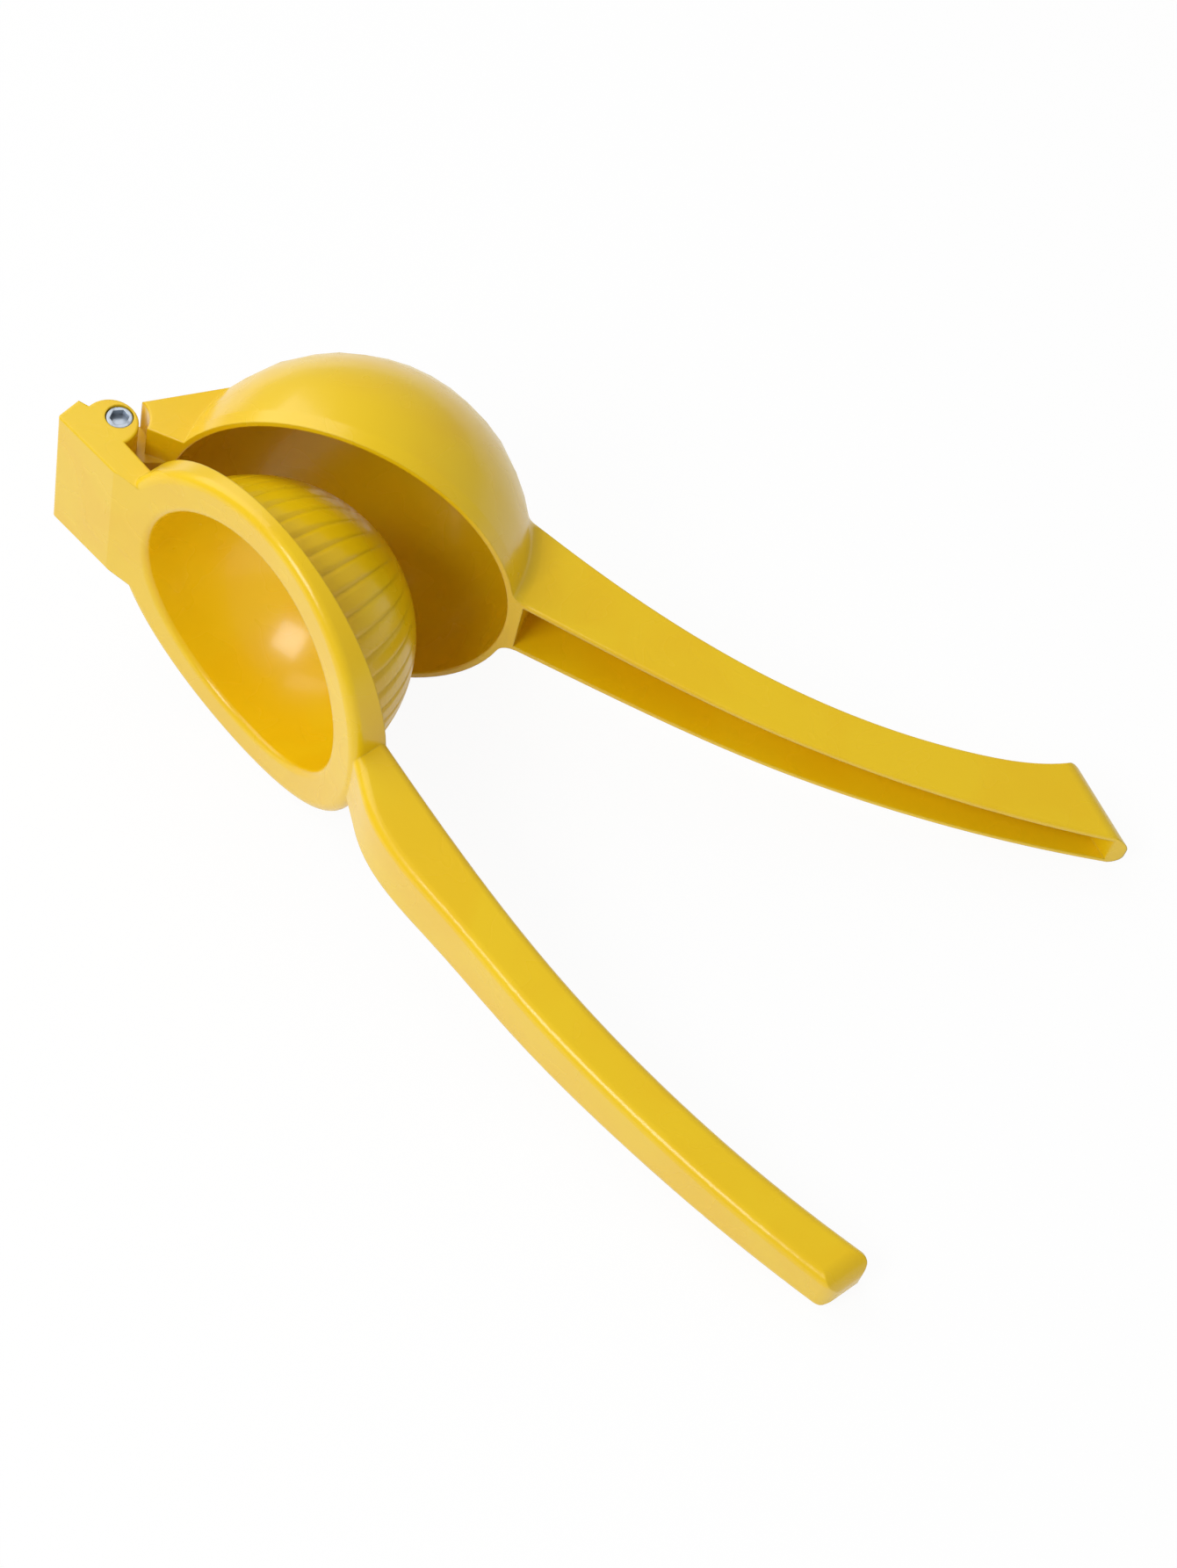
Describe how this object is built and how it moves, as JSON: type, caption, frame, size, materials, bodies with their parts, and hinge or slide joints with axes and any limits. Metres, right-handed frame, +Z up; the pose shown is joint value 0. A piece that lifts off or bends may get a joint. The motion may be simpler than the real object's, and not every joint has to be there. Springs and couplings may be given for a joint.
{
  "type": "hinged lemon squeezer",
  "caption": "Hand lever citrus press: a ribbed dome on one cast arm swings on a hinge pin into a drained half-round bowl on the other.",
  "frame": {"origin": "middle of the tool's footprint on the table it lies on, at table height", "axes": "+X from the hinge towards the handle ends, +Z up, tool lying on its side and part open, +Y on the bowl arm's side"},
  "size_m": [0.206, 0.1178, 0.0704],
  "materials": {
    "enamel": "glossy yellow enamel on cast aluminium",
    "pin_steel": "turned stainless steel, satin"
  },
  "bodies": {
    "bowl_arm": {"bowl_arm": "enamel"},
    "press_arm": {"press_arm": "enamel", "hinge_barrel": "pin_steel", "hinge_screw": "pin_steel"}
  },
  "joints": [
    {"name": "press_swing", "type": "hinge", "parent": "bowl_arm", "child": "press_arm", "pos_m": [-0.09177, -0.00163, 0.04367], "axis": [0.1976, 0, 0.9803], "range_deg": [-96.3, 28.7]}
  ]
}
